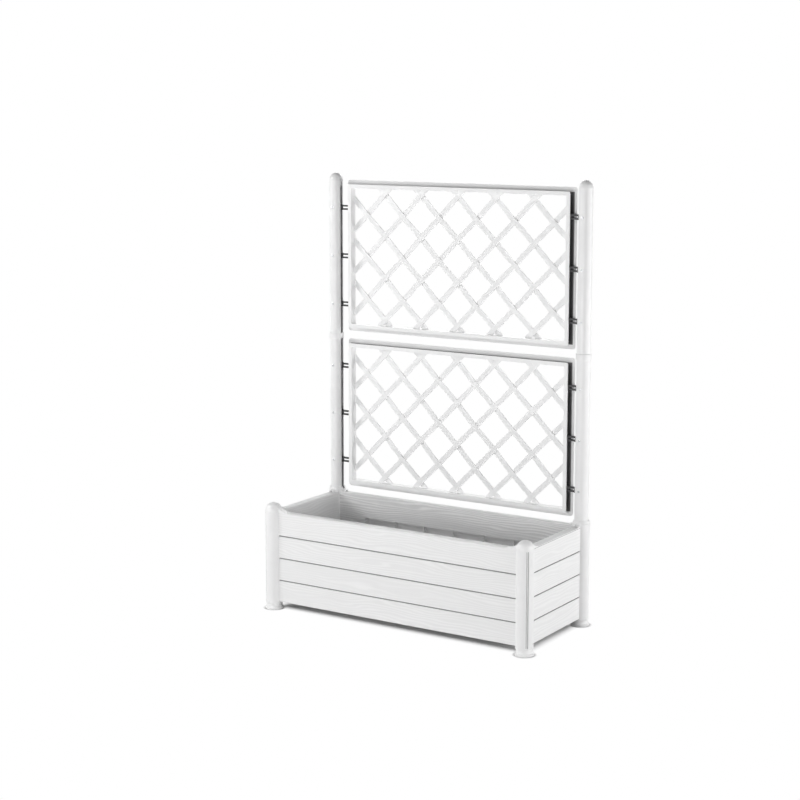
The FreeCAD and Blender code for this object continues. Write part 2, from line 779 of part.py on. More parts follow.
def build_planter():
    """All sub-parts, in their places."""
    nodes = []
    for corner, (position, turn) in CORNERS.items():
        crown = build_post_cap if corner.startswith("front") else build_collar
        crown_name = "cap" if corner.startswith("front") else "collar"
        for builder, name in ((build_foot, "foot"), (build_post, "post"), (crown, crown_name)):
            node = builder(f"{corner}_{name}")
            place(node, position, turn)
            nodes.append(node)

    wide, deep = "(overall_width - 2 * foot_radius)", "(overall_depth - 2 * foot_radius)"
    for label, span, ribs, position, turn in (
        ("front_panel", wide, 5, Vector(0, -POST_Y, 0), 0),
        ("right_panel", deep, 1, Vector(POST_X, 0, 0), 90),
        ("back_panel", wide, 5, Vector(0, POST_Y, 0), 180),
        ("left_panel", deep, 1, Vector(-POST_X, 0, 0), 270),
    ):
        node = build_panel(label, span, ribs)
        place(node, position, turn)
        nodes.append(node)
    nodes.append(build_floor("floor_panel"))

    column_foot = "panel_top + collar_seat_height"
    column_head = "overall_height - column_radius - top_cap_flange_height"
    for name, side in (("left", LEFT), ("right", RIGHT)):
        position, turn = Vector(side * POST_X, POST_Y, 0), 0 if side == LEFT else 180
        pieces = [
            build_column(f"{name}_lower_column", column_foot, "column_split",
                         "lower_trellis_level", side),
            build_column(f"{name}_upper_column", "column_split", column_head,
                         "upper_trellis_level", side),
            build_sleeve(f"{name}_column_sleeve"),
            build_top_cap(f"{name}_top_cap"),
        ]
        for node in pieces:
            place(node, position, turn)
        nodes += pieces
        nodes.append(build_clips(f"{name}_trellis_clips", side))
        nodes.append(build_screws(f"{name}_clip_screws", side))

    nodes.append(build_trellis("lower_trellis", "lower_trellis_level"))
    nodes.append(build_trellis("upper_trellis", "upper_trellis_level"))
    return nodes


def check_and_write(nodes):
    """Stop on any failed feature or bad shape, then write each node's file."""
    doc.recompute()
    for item in doc.Objects:
        if "Invalid" in item.State or "Error" in item.State:
            raise RuntimeError(f"{item.Name} failed: {item.State}")
        if item.TypeId == "PartDesign::Pocket":
            if item.Shape.Volume > item.BaseFeature.Shape.Volume - 1:
                raise RuntimeError(f"{item.Name} cuts nothing")
    for node in nodes:
        if node.Shape.isNull() or not node.Shape.isValid():
            raise RuntimeError(f"{node.Label} has a bad shape")
    os.makedirs("parts", exist_ok=True)
    for node in nodes:
        node.Shape.exportStep(f"parts/{node.Label}.step")
        solids = len(node.Shape.Solids)
        print(f"{node.Label}: {solids} solids, {node.Shape.Volume / 1000:.1f} cm3")


check_and_write(build_planter())
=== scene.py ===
"""Finishes, caps, collars, screws, lamps and camera of the planter with trellis.

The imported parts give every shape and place, in metres: +Z up, +X to the right, +Y to the back.
This script dresses each part in its own finish, models the posts' caps and collars and the clip
screws in full, and sets the studio that the planter stands in.
"""

import logging
import math
from dataclasses import dataclass
from enum import Enum
from typing import Callable, ClassVar, Sequence, Union

import bpy
from mathutils import Matrix, Vector


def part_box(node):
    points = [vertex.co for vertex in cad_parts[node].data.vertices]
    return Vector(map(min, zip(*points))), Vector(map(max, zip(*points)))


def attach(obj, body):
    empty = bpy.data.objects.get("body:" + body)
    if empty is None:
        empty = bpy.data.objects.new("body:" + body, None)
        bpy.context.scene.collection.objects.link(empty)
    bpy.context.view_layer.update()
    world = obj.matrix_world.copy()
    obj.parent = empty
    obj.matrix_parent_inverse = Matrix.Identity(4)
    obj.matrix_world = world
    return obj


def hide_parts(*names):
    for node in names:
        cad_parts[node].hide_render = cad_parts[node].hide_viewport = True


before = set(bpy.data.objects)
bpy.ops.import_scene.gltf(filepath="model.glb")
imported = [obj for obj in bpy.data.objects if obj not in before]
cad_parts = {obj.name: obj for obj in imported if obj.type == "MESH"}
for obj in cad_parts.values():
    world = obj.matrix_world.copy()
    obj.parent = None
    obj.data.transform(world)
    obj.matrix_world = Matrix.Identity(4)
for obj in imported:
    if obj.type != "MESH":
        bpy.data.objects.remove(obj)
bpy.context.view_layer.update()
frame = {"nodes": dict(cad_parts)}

MM = 0.001
ROOT_BODY = "root"
CORNERS = ("front_left", "front_right", "back_left", "back_right")
SIDES = ("left", "right")

LOG = logging.getLogger("planter")


# ---------------------------------------------------------------- shader arithmetic


Number = Union[float, "Signal"]
Colour = tuple[float, float, float]


class Signal:
    """A value that runs through a material's nodes and takes part in plain arithmetic."""

    def __init__(self, paint: "Paint", socket: bpy.types.NodeSocket) -> None:
        """Keep the socket that gives the value.

        Args:
            paint: The material that the socket belongs to.
            socket: The output socket.
        """
        self.paint = paint
        self.socket = socket

    def _math(self, operation: str, *values: Number) -> "Signal":
        """Add one Math node.

        Args:
            operation: The node's operation.
            values: Its inputs, in order.

        Returns:
            The node's result.
        """
        node = self.paint.node("ShaderNodeMath", {"operation": operation}, dict(enumerate(values)))
        return Signal(self.paint, node.outputs[0])

    def __add__(self, other: Number) -> "Signal":
        """Sum."""
        return self._math("ADD", self, other)

    __radd__ = __add__

    def __sub__(self, other: Number) -> "Signal":
        """Difference."""
        return self._math("SUBTRACT", self, other)

    def __rsub__(self, other: Number) -> "Signal":
        """Difference from a plain number."""
        return self._math("SUBTRACT", other, self)

    def __mul__(self, other: Number) -> "Signal":
        """Product."""
        return self._math("MULTIPLY", self, other)

    __rmul__ = __mul__

    def __truediv__(self, other: Number) -> "Signal":
        """Quotient."""
        return self._math("DIVIDE", self, other)

    def __gt__(self, other: Number) -> "Signal":
        """One where the value is above the other, else nought."""
        return self._math("GREATER_THAN", self, other)

    def __abs__(self) -> "Signal":
        """Size without sign."""
        return self._math("ABSOLUTE", self)

    def at_least(self, other: Number) -> "Signal":
        """The greater of two values."""
        return self._math("MAXIMUM", self, other)

    def wave(self) -> "Signal":
        """Sine of the value in turns, from -1 to 1."""
        return self._math("SINE", self * (2 * math.pi))

    def power(self, exponent: float) -> "Signal":
        """Value raised to an exponent."""
        return self._math("POWER", self, exponent)

    def ease(self, low: float, high: float) -> "Signal":
        """Smooth step from nought at low to one at high.

        Args:
            low: Value that gives nought.
            high: Value that gives one.

        Returns:
            The eased value.
        """
        node = self.paint.node(
            "ShaderNodeMapRange",
            {"interpolation_type": "SMOOTHSTEP", "clamp": True},
            {"Value": self, "From Min": low, "From Max": high},
        )
        return Signal(self.paint, node.outputs["Result"])


class Paint:
    """The node tree of a material or of the world."""

    def __init__(self, owner: Union[bpy.types.Material, bpy.types.World]) -> None:
        """Start an empty tree.

        Args:
            owner: The material or world that the tree belongs to.
        """
        self.owner = owner
        self.owner.use_nodes = True
        self.tree = self.owner.node_tree
        self.tree.nodes.clear()

    @classmethod
    def material(cls, name: str) -> "Paint":
        """Start a new material.

        Args:
            name: The material's name.

        Returns:
            Its empty tree.
        """
        return cls(bpy.data.materials.new(name))

    def node(self, kind: str, settings: dict, inputs: dict) -> bpy.types.Node:
        """Add a node of any kind.

        Args:
            kind: The node's type.
            settings: Its own settings, which are set first.
            inputs: Values, signals or sockets for its inputs, by name or number.

        Returns:
            The node.
        """
        node = self.tree.nodes.new(kind)
        for key, setting in settings.items():
            setattr(node, key, setting)
        for key, given in inputs.items():
            if isinstance(given, Signal):
                given = given.socket
            if isinstance(given, bpy.types.NodeSocket):
                self.tree.links.new(given, node.inputs[key])
            else:
                node.inputs[key].default_value = given
        return node

    def signal(self, kind: str, settings: dict, inputs: dict, output: str) -> Signal:
        """Add a node and take one of its outputs as a signal.

        Args:
            kind: The node's type.
            settings: Its own settings.
            inputs: Values for its inputs.
            output: The output's name.

        Returns:
            The output.
        """
        return Signal(self, self.node(kind, settings, inputs).outputs[output])

    def position(self) -> tuple[Signal, Signal, Signal]:
        """Place of the shaded point on the object, as three signals in metres."""
        place = self.node("ShaderNodeTexCoord", {}, {}).outputs["Object"]
        parts = self.node("ShaderNodeSeparateXYZ", {}, {0: place})
        return tuple(Signal(self, socket) for socket in parts.outputs)

    @staticmethod
    def length(across: Signal, along: Signal) -> Signal:
        """Length of a flat vector."""
        return ((across * across) + (along * along)).power(0.5)

    def noise(self, place: Sequence[Signal], scales: Union[float, Sequence[float]],
              detail: float = 2.0, roughness: float = 0.5) -> Signal:
        """Soft noise over a place.

        Args:
            place: Three coordinates.
            scales: How many blots of noise there are to a metre, in all or along each coordinate.
            detail: How many finer layers it has.
            roughness: How strong those layers are.

        Returns:
            Noise about 0.5.
        """
        if isinstance(scales, float):
            scales = (scales,) * 3
        blots = dict(enumerate(axis * scale for axis, scale in zip(place, scales)))
        vector = self.node("ShaderNodeCombineXYZ", {}, blots)
        return self.signal(
            "ShaderNodeTexNoise", {"noise_dimensions": "3D"},
            {"Vector": vector.outputs[0], "Scale": 1.0, "Detail": detail, "Roughness": roughness},
            "Fac",
        )

    def blend(self, share: Number, first: Union[Colour, Signal],
              second: Union[Colour, Signal]) -> Signal:
        """Mix two colours.

        Args:
            share: Share of the second colour.
            first: Colour at nought.
            second: Colour at one.

        Returns:
            The mixed colour.
        """
        ends = [given if isinstance(given, Signal) else (*given, 1.0) for given in (first, second)]
        node = self.node("ShaderNodeMix", {"data_type": "RGBA"}, {0: share, 6: ends[0], 7: ends[1]})
        return Signal(self, node.outputs[2])

    def bump(self, height: Number, depth: float, strength: float = 1.0) -> Signal:
        """Relief from a height signal.

        Args:
            height: Height from nought to one.
            depth: What a height of one is, in metres.
            strength: How much of the relief shows.

        Returns:
            The bent normal.
        """
        return self.signal("ShaderNodeBump", {},
                           {"Strength": strength, "Distance": depth, "Height": height}, "Normal")

    def finish(self, constants: dict, **surface: Signal) -> bpy.types.Material:
        """Close the tree with a Principled shader.

        Args:
            constants: Values that are the same all over, by socket name.
            surface: Signals that vary, by socket name with underscores for blanks.

        Returns:
            The finished material.
        """
        inputs = dict(constants)
        inputs.update({name.replace("_", " "): given for name, given in surface.items()})
        shader = self.node("ShaderNodeBsdfPrincipled", {}, inputs)
        self.node("ShaderNodeOutputMaterial", {}, {"Surface": shader.outputs[0]})
        return self.owner


# ---------------------------------------------------------------- finishes


PLASTIC_GLOSS = {"IOR": 1.49, "Specular IOR Level": 0.5}


class Run(Enum):
    """The direction that a grain or a draw line runs in."""

    ACROSS = 0
    DEPTH = 1
    UP = 2


@dataclass(frozen=True)
class WhitePlastic:
    """Satin white plastic, faintly clouded, with fine draw lines and a slight peel."""

    light: Colour = (0.865, 0.865, 0.865)
    shade: Colour = (0.84, 0.84, 0.842)
    roughness: float = 0.38
    run: Run = Run.UP
    line_pitch: float = 2.2 * MM
    lines_along: float = 9.0
    line_share: float = 0.75
    relief: float = 0.05 * MM
    cloud_scale: float = 21.0
    cloud_band: tuple[float, float] = (0.3, 0.75)
    cloud_gloss: float = 0.12
    peel_scale: float = 900.0
    line_gloss: float = 0.1

    def line_scales(self) -> list[float]:
        """Scales of the draw lines along X, Y and Z, few along the way that they run."""
        scales = [1 / self.line_pitch] * 3
        scales[self.run.value] = self.lines_along
        return scales

    def add_painted_shade(self, paint: Paint, place: Sequence[Signal], colour: Signal) -> Signal:
        """Paint shade on what lies deep; plain plastic gets none.

        Args:
            paint: The material's tree.
            place: The shaded point.
            colour: The plastic's colour.

        Returns:
            The colour with any painted shade.
        """
        return colour

    def paint(self, name: str) -> bpy.types.Material:
        """Make the material.

        Args:
            name: The material's name.

        Returns:
            The material.
        """
        paint = Paint.material(name)
        place = paint.position()
        lines = paint.noise(place, self.line_scales(), roughness=0.6)
        cloud = paint.noise(place, self.cloud_scale, detail=3.0)
        peel = paint.noise(place, self.peel_scale, detail=1.0)
        colour = paint.blend(cloud.ease(*self.cloud_band), self.light, self.shade)
        gloss = (self.roughness + (cloud - 0.5) * self.cloud_gloss
                 + (lines - 0.5) * self.line_gloss)
        relief = lines * self.line_share + peel * (1 - self.line_share)
        # The base colour carries the finish's painted shade, if it has any.
        return paint.finish(
            PLASTIC_GLOSS, Base_Color=self.add_painted_shade(paint, place, colour), Roughness=gloss,
            Normal=paint.bump(relief, self.relief),
        )


@dataclass(frozen=True)
class PostPlastic(WhitePlastic):
    """White plastic of the posts, with painted shade on both flanks of their grooves."""

    # Colour of the painted shade on the groove's flanks.
    painted_groove_shade: Colour = (0.42, 0.42, 0.422)
    post_place: tuple[float, float] = (470 * MM, 185 * MM)
    rim_radius: float = 27.1 * MM
    rim_fade: float = 0.9 * MM
    bottom_radius: float = 24.4 * MM
    bottom_fade: float = 0.5 * MM

    def add_painted_shade(self, paint: Paint, place: Sequence[Signal], colour: Signal) -> Signal:
        """Paint shade on the flanks of the groove, by their distance from the post's axis.

        Args:
            paint: The material's tree.
            place: The shaded point.
            colour: The plastic's colour.

        Returns:
            The colour with painted shade on the groove's flanks.
        """
        beside = [abs(axis) - post for axis, post in zip(place, self.post_place)]
        radius = paint.length(*beside)
        sunk = radius.ease(self.rim_radius, self.rim_radius - self.rim_fade)
        raised = radius.ease(self.bottom_radius - self.bottom_fade,
                             self.bottom_radius + self.bottom_fade)
        # Painted shade: the groove's two flanks darkened, its middle left light.
        return paint.blend(sunk * raised, colour, self.painted_groove_shade)


@dataclass(frozen=True)
class TrellisPlastic(WhitePlastic):
    """White plastic of the trellis panels, with a lighter colour than the other white plastic as
    painted light, and painted shade at the bottom of the recess round each rim.
    """

    # Painted light: a lighter white than the other plastic, to brighten the trellis panels.
    light: Colour = (0.9, 0.9, 0.9)
    shade: Colour = (0.875, 0.875, 0.877)
    roughness: float = 0.4
    # Colour of the painted shade in the recess round each rim.
    channel_shade: Colour = (0.15, 0.15, 0.152)
    levels: tuple[float, float] = (602.5 * MM, 1141 * MM)
    web: tuple[float, float] = (409 * MM, 233.7 * MM)
    dark_from_web: tuple[float, float] = (13.5 * MM, 7.0 * MM)
    dark_band: tuple[float, float] = (1.12, 0.88)
    web_margin: float = 0.02
    between_flanges: tuple[float, float] = (181 * MM, 200.9 * MM)

    def line_scales(self) -> list[float]:
        """Scales of the draw lines along X, Y and Z, many through the thin way."""
        return [60.0, 300.0, 60.0]

    def add_painted_shade(self, paint: Paint, place: Sequence[Signal], colour: Signal) -> Signal:
        """Paint shade at the bottom of the recess, beyond the web and between the flanges.

        Args:
            paint: The material's tree.
            place: The shaded point.
            colour: The plastic's colour.

        Returns:
            The colour with painted shade in the recess.
        """
        across, deep, up = place
        low, high = self.levels
        from_middle = up - low - (up > (low + high) / 2) * (high - low)
        beyond_side = (abs(across) - self.web[0]) / self.dark_from_web[0]
        beyond_end = (abs(from_middle) - self.web[1]) / self.dark_from_web[1]
        beyond = beyond_side.at_least(beyond_end)
        between = (deep > self.between_flanges[0]) * (1 - (deep > self.between_flanges[1]))
        # Painted shade: the recess's bottom darkened beyond the web, between the flanges.
        dark = (beyond > -self.web_margin) * beyond.ease(*self.dark_band) * between
        return paint.blend(dark, colour, self.channel_shade)


@dataclass(frozen=True)
class GrainedPlastic:
    """White plastic whose planks carry a moulded wood grain, stronger on their inner side, with
    painted shade in their joints.
    """

    light: Colour = (0.872, 0.872, 0.872)
    shade: Colour = (0.6, 0.6, 0.602)
    # Colour of the painted shade in the joints and along the bead.
    painted_joint_shade: Colour = (0.26, 0.26, 0.262)
    roughness: float = 0.46
    shade_gloss: float = 0.12
    run: Run = Run.ACROSS
    joints: tuple[float, ...] = (98.9 * MM, 173.4 * MM, 248.6 * MM)
    joint_half_width: float = 2.0 * MM
    bead: float = 0.0
    bead_half_width: float = 0.8 * MM
    line_edge: tuple[float, float] = (0.55, 1.05)
    inner_wall: float = 183 * MM
    outer_grain: float = 0.22
    inner_grain: float = 0.8
    plank_shift: float = 3.71
    ring_pitch: float = 8.5 * MM
    ring_sway: float = 9.0
    ring_drift: float = 1.6
    ring_share: float = 0.55
    ring_sharpness: float = 1.6
    faintest_ring: float = 0.25
    sway_scales: tuple[float, float, float] = (2.4, 22.0, 13.0)
    drift_scales: tuple[float, float, float] = (6.5, 31.0, 34.0)
    fibre_scales: tuple[float, float, float] = (17.0, 120.0, 420.0)
    strength_scales: tuple[float, float, float] = (3.1, 18.0, 21.0)
    strength_band: tuple[float, float] = (0.3, 0.62)
    pore_band: tuple[float, float] = (0.75, 0.05)
    relief: float = 2.2 * MM
    relief_strength: float = 0.5

    def grain(self, paint: Paint, place: Sequence[Signal]) -> Signal:
        """Height of the wood grain, from nought in its pores to one.

        Args:
            paint: The material's tree.
            place: The shaded point, along the plank, through it and up.

        Returns:
            The height.
        """
        sway = paint.noise(place, self.sway_scales, roughness=0.55)
        drift = paint.noise(place, self.drift_scales, detail=1.0)
        fibre = paint.noise(place, self.fibre_scales, detail=3.0, roughness=0.65)
        strong = paint.noise(place, self.strength_scales).ease(*self.strength_band)
        turns = place[2] / self.ring_pitch + sway * self.ring_sway + drift * self.ring_drift
        rings = (turns.wave() * 0.5 + 0.5).power(self.ring_sharpness)
        rings = rings * (self.faintest_ring + (1 - self.faintest_ring) * strong)
        return rings * self.ring_share + fibre * (1 - self.ring_share)

    def lines(self, up: Signal) -> Signal:
        """One where shade is painted, in the plank joints and along the bead under the rail, else
        nought.

        Args:
            up: Height on the panel.

        Returns:
            The mask.
        """
        places = [(level, self.joint_half_width) for level in self.joints]
        if self.bead:
            places.append((self.bead, self.bead_half_width))
        clear = 1.0
        for level, half_width in places:
            start, end = [half_width * share for share in self.line_edge]
            clear = clear * abs(up - level).ease(start, end)
        return 1 - clear

    def paint(self, name: str) -> bpy.types.Material:
        """Make the material.

        Args:
            name: The material's name.

        Returns:
            The material.
        """
        paint = Paint.material(name)
        place = paint.position()
        along, deep, up = place[self.run.value], place[1 - self.run.value], place[2]
        plank = (up > self.joints[0]) + (up > self.joints[1]) + (up > self.joints[2])
        grain = self.grain(paint, (along + plank * self.plank_shift, deep, up))
        outside = abs(deep) > self.inner_wall
        strength = self.inner_grain + outside * (self.outer_grain - self.inner_grain)
        shadow = grain.ease(*self.pore_band) * strength
        colour = paint.blend(shadow, self.light, self.shade)
        # Painted shade in the plank joints and along the bead, on the outer faces only.
        colour = paint.blend(self.lines(up) * outside, colour, self.painted_joint_shade)
        return paint.finish(
            PLASTIC_GLOSS, Base_Color=colour, Roughness=self.roughness + shadow * self.shade_gloss,
            Normal=paint.bump(grain * strength, self.relief, self.relief_strength),
        )


@dataclass(frozen=True)
class DarkPlastic:
    """Matt dark plastic of the forked clips."""

    light: Colour = (0.045, 0.045, 0.048)
    shade: Colour = (0.022, 0.022, 0.024)
    roughness: float = 0.52
    cloud_scale: float = 110.0
    cloud_band: tuple[float, float] = (0.35, 0.7)
    cloud_gloss: float = 0.2
    spark_scale: float = 2200.0
    spark_height: float = 0.06 * MM

    def paint(self, name: str) -> bpy.types.Material:
        """Make the material.

        Args:
            name: The material's name.

        Returns:
            The material.
        """
        paint = Paint.material(name)
        place = paint.position()
        cloud = paint.noise(place, self.cloud_scale, detail=3.0)
        spark = paint.noise(place, self.spark_scale, detail=1.0)
        return paint.finish(
            PLASTIC_GLOSS,
            Base_Color=paint.blend(cloud.ease(*self.cloud_band), self.shade, self.light),
            Roughness=self.roughness + (cloud - 0.5) * self.cloud_gloss,
            Normal=paint.bump(spark, self.spark_height),
        )


@dataclass(frozen=True)
class ZincSteel:
    """Zinc-plated steel of the screws, faintly turned and clouded."""

    light: Colour = (0.66, 0.67, 0.69)
    shade: Colour = (0.48, 0.49, 0.5)
    roughness: float = 0.3
    cloud_scale: float = 340.0
    cloud_band: tuple[float, float] = (0.3, 0.7)
    cloud_gloss: float = 0.25
    turned_scales: tuple[float, float, float] = (900.0, 9000.0, 900.0)
    turned_gloss: float = 0.1
    turned_height: float = 0.02 * MM

    def paint(self, name: str) -> bpy.types.Material:
        """Make the material.

        Args:
            name: The material's name.

        Returns:
            The material.
        """
        paint = Paint.material(name)
        place = paint.position()
        cloud = paint.noise(place, self.cloud_scale, detail=3.0)
        turned = paint.noise(place, self.turned_scales, detail=1.0)
        gloss = (self.roughness + (cloud - 0.5) * self.cloud_gloss
                 + (turned - 0.5) * self.turned_gloss)
        return paint.finish(
            {"Metallic": 1.0}, Roughness=gloss,
            Base_Color=paint.blend(cloud.ease(*self.cloud_band), self.light, self.shade),
            Normal=paint.bump(turned, self.turned_height),
        )


# ---------------------------------------------------------------- modelling by hand


class Bench:
    """Small helpers for shaping a mesh with the modelling operators."""

    @staticmethod
    def clear() -> None:
        """Leave nothing selected."""
        bpy.ops.object.select_all(action="DESELECT")

    @staticmethod
    def pick(piece: bpy.types.Object, wanted: Callable[[bpy.types.MeshPolygon], bool]) -> None:
        """Open a piece for editing with some of its faces selected.

        Args:
            piece: The piece, which becomes active.
            wanted: Tells which faces to select.
        """
        Bench.clear()
        piece.select_set(True)
        bpy.context.view_layer.objects.active = piece
        bpy.ops.object.mode_set(mode="EDIT")
        bpy.ops.mesh.select_mode(type="FACE")
        bpy.ops.mesh.select_all(action="DESELECT")
        bpy.ops.object.mode_set(mode="OBJECT")
        for face in piece.data.polygons:
            face.select = wanted(face)
        bpy.ops.object.mode_set(mode="EDIT")

    @staticmethod
    def close() -> None:
        """Leave edit mode."""
        bpy.ops.object.mode_set(mode="OBJECT")

    @staticmethod
    def apply(piece: bpy.types.Object, kind: str, **settings: object) -> None:
        """Add a modifier and apply it.

        Args:
            piece: The piece.
            kind: The modifier's type.
            settings: The modifier's settings.
        """
        Bench.clear()
        piece.select_set(True)
        bpy.context.view_layer.objects.active = piece
        modifier = piece.modifiers.new(kind.lower(), kind)
        for key, setting in settings.items():
            setattr(modifier, key, setting)
        bpy.ops.object.modifier_apply(modifier=modifier.name)

    @staticmethod
    def block(low: Sequence[float], high: Sequence[float]) -> bpy.types.Object:
        """Make a box.

        Args:
            low: Its lowest corner.
            high: Its highest corner.

        Returns:
            The box.
        """
        Bench.clear()
        bpy.ops.mesh.primitive_cube_add(
            size=1, location=[(a + b) / 2 for a, b in zip(low, high)],
            scale=[b - a for a, b in zip(low, high)])
        box = bpy.context.object
        bpy.ops.object.transform_apply(location=True, rotation=True, scale=True)
        return box

    @staticmethod
    def rod(radius: float, centre: Sequence[float], length: float,
            lying: bool = False, sides: int = 96) -> bpy.types.Object:
        """Make a round rod.

        Args:
            radius: Its radius.
            centre: Its middle.
            length: Its length.
            lying: Along Y instead of Z.
            sides: How many flats its round has.

        Returns:
            The rod.
        """
        Bench.clear()
        bpy.ops.mesh.primitive_cylinder_add(
            vertices=sides, radius=radius, depth=length, location=centre,
            rotation=(math.pi / 2 if lying else 0, 0, 0))
        rod = bpy.context.object
        bpy.ops.object.transform_apply(location=True, rotation=True, scale=True)
        return rod

    @staticmethod
    def turned(radius: float, rings: Sequence[tuple[float, float]]) -> bpy.types.Object:
        """Turn a piece about Z by drawing its top face up, ring by ring.

        Args:
            radius: Radius of its foot, at height nought.
            rings: Radius and height of each ring, from the first above the foot to the last.

        Returns:
            The turned piece.
        """
        first = rings[0][1]
        piece = Bench.rod(radius, (0, 0, first / 2), first)
        Bench.pick(piece, lambda face: face.normal.z > 0.9)
        width, height = radius, first
        for ring_radius, ring_height in rings[1:]:
            bpy.ops.mesh.extrude_region_move(
                TRANSFORM_OT_translate={"value": (0, 0, ring_height - height)})
            bpy.ops.transform.resize(value=(ring_radius / width, ring_radius / width, 1),
                                     center_override=(0, 0, ring_height))
            width, height = ring_radius, ring_height
        Bench.close()
        return piece

    @staticmethod
    def cut(piece: bpy.types.Object, cutter: bpy.types.Object,
            operation: str = "DIFFERENCE") -> None:
        """Take one piece away from another.

        Args:
            piece: The piece that stays.
            cutter: The piece that is used up.
            operation: The kind of cut.
        """
        Bench.apply(piece, "BOOLEAN", operation=operation, solver="EXACT", object=cutter)
        bpy.data.objects.remove(cutter)

    @staticmethod
    def fuse(piece: bpy.types.Object, extra: bpy.types.Object) -> None:
        """Make one solid of two pieces.

        Args:
            piece: The piece that stays.
            extra: The piece that is used up.
        """
        Bench.cut(piece, extra, "UNION")

    @staticmethod
    def soften(piece: bpy.types.Object, angle: float = 35) -> None:
        """Shade a piece smooth but for its real edges.

        Args:
            piece: The piece.
            angle: The sharpest bend that is still smooth, in degrees.
        """
        Bench.clear()
        piece.select_set(True)
        bpy.context.view_layer.objects.active = piece
        bpy.ops.object.shade_smooth_by_angle(angle=math.radians(angle))

    @staticmethod
    def join(pieces: Sequence[bpy.types.Object], name: str) -> bpy.types.Object:
        """Join pieces into one object.

        Args:
            pieces: The pieces; the first one stays.
            name: The name of the result.

        Returns:
            The joined object.
        """
        Bench.clear()
        for piece in pieces:
            piece.select_set(True)
        bpy.context.view_layer.objects.active = pieces[0]
        bpy.ops.object.join()
        pieces[0].name = name
        pieces[0].data.name = name
        return pieces[0]


@dataclass
class Crown:
    """What closes a corner post and sweeps out over the top rails of both neighbouring panels.

    It is modelled about the post's axis with the rails' top at nought and its lugs along +X and +Y,
    and then turned to its corner.
    """

    KIND: ClassVar[str] = "cap"
    TURNS: ClassVar[dict[str, float]] = {
        "front_left": 0, "front_right": 90, "back_right": 180, "back_left": 270}

    corner: str
    plastic: bpy.types.Material
    rail_top: float = 327 * MM
    lug_reach: float = 63 * MM
    lug_lip: float = 1.0 * MM
    lug_drop: float = 2.2 * MM
    lug_outside: float = 10.2 * MM
    lug_inside: float = 8.0 * MM
    lug_inset: float = 6 * MM
    sweep_radius: float = 60 * MM
    edge: float = 1.1 * MM
    edge_angle: float = 40
    edge_steps: int = 3
    spigot_radius: float = 20.4 * MM
    spigot_length: float = 20 * MM
    overlap: float = 0.5 * MM

    @property
    def node(self) -> str:
        """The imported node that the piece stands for."""
        return f"{self.corner}_{self.KIND}"

    def head(self) -> bpy.types.Object:
        """Model the part that stands on the post itself."""
        raise NotImplementedError

    def finish_off(self, crown: bpy.types.Object) -> None:
        """Cut what the finished crown still needs.

        Args:
            crown: The crown, in its own frame.
        """

    def lug(self, number: int) -> bpy.types.Object:
        """Model one lug: a bar whose top is swept hollow and whose edges are eased.

        Args:
            number: Nought for the lug along +X, one for the lug along +Y.

        Returns:
            The lug.
        """
        root = self.spigot_radius - self.lug_inset
        crest = self.rise(root)
        lug = Bench.block((root, -self.lug_outside, -self.lug_drop),
                          (self.lug_reach, self.lug_inside, crest))
        cutter = Bench.rod(self.sweep_radius, (self.lug_reach, 0, self.lug_lip + self.sweep_radius),
                           self.lug_outside * 4, lying=True)
        Bench.cut(lug, cutter)
        Bench.apply(lug, "BEVEL", width=self.edge, segments=self.edge_steps,
                    limit_method="ANGLE", angle_limit=math.radians(self.edge_angle))
        if number:
            lug.data.transform(Matrix(((0, 1, 0, 0), (1, 0, 0, 0), (0, 0, 1, 0), (0, 0, 0, 1))))
            lug.data.flip_normals()
        return lug

    def rise(self, distance: float) -> float:
        """Height of the swept top at a distance from the post's axis."""
        away = min(self.lug_reach - distance, self.sweep_radius)
        return self.lug_lip + self.sweep_radius - math.sqrt(self.sweep_radius ** 2 - away ** 2)

    def build(self) -> bpy.types.Object:
        """Make the crown and put it on its post.

        Returns:
            The crown.
        """
        crown = self.head()
        spigot = Bench.rod(self.spigot_radius, (0, 0, (self.overlap - self.spigot_length) / 2),
                           self.spigot_length + self.overlap)
        for extra in (self.lug(0), self.lug(1), spigot):
            Bench.fuse(crown, extra)
        self.finish_off(crown)
        low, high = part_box(f"{self.corner}_post")
        turn = Matrix.Rotation(math.radians(self.TURNS[self.corner]), 4, "Z")
        place = Matrix.Translation(((low.x + high.x) / 2, (low.y + high.y) / 2, self.rail_top))
        crown.data.transform(place @ turn)
        crown.name = crown.data.name = f"{self.node}_moulding"
        Bench.soften(crown)
        crown.data.materials.clear()
        crown.data.materials.append(self.plastic)
        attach(crown, ROOT_BODY)
        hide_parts(self.node)
        return crown


@dataclass
class DomedCap(Crown):
    """The domed cap of a front post."""

    dome_radius: float = 27.5 * MM
    dome_steps: int = 16
    flange_radius: float = 28.5 * MM
    flange_height: float = 2.5 * MM
    flange_fall: float = 0.6 * MM
    flange_ledge: float = 0.4 * MM

    def head(self) -> bpy.types.Object:
        """Model the dome on its flange."""
        rings = [(self.flange_radius, self.flange_height - self.flange_fall),
                 (self.dome_radius + self.flange_ledge, self.flange_height),
                 (self.dome_radius, self.flange_height)]
        for step in range(1, self.dome_steps):
            rise = step * math.pi / (2 * self.dome_steps)
            rings.append((self.dome_radius * math.cos(rise),
                          self.flange_height + self.dome_radius * math.sin(rise)))
        return Bench.turned(self.flange_radius, rings)


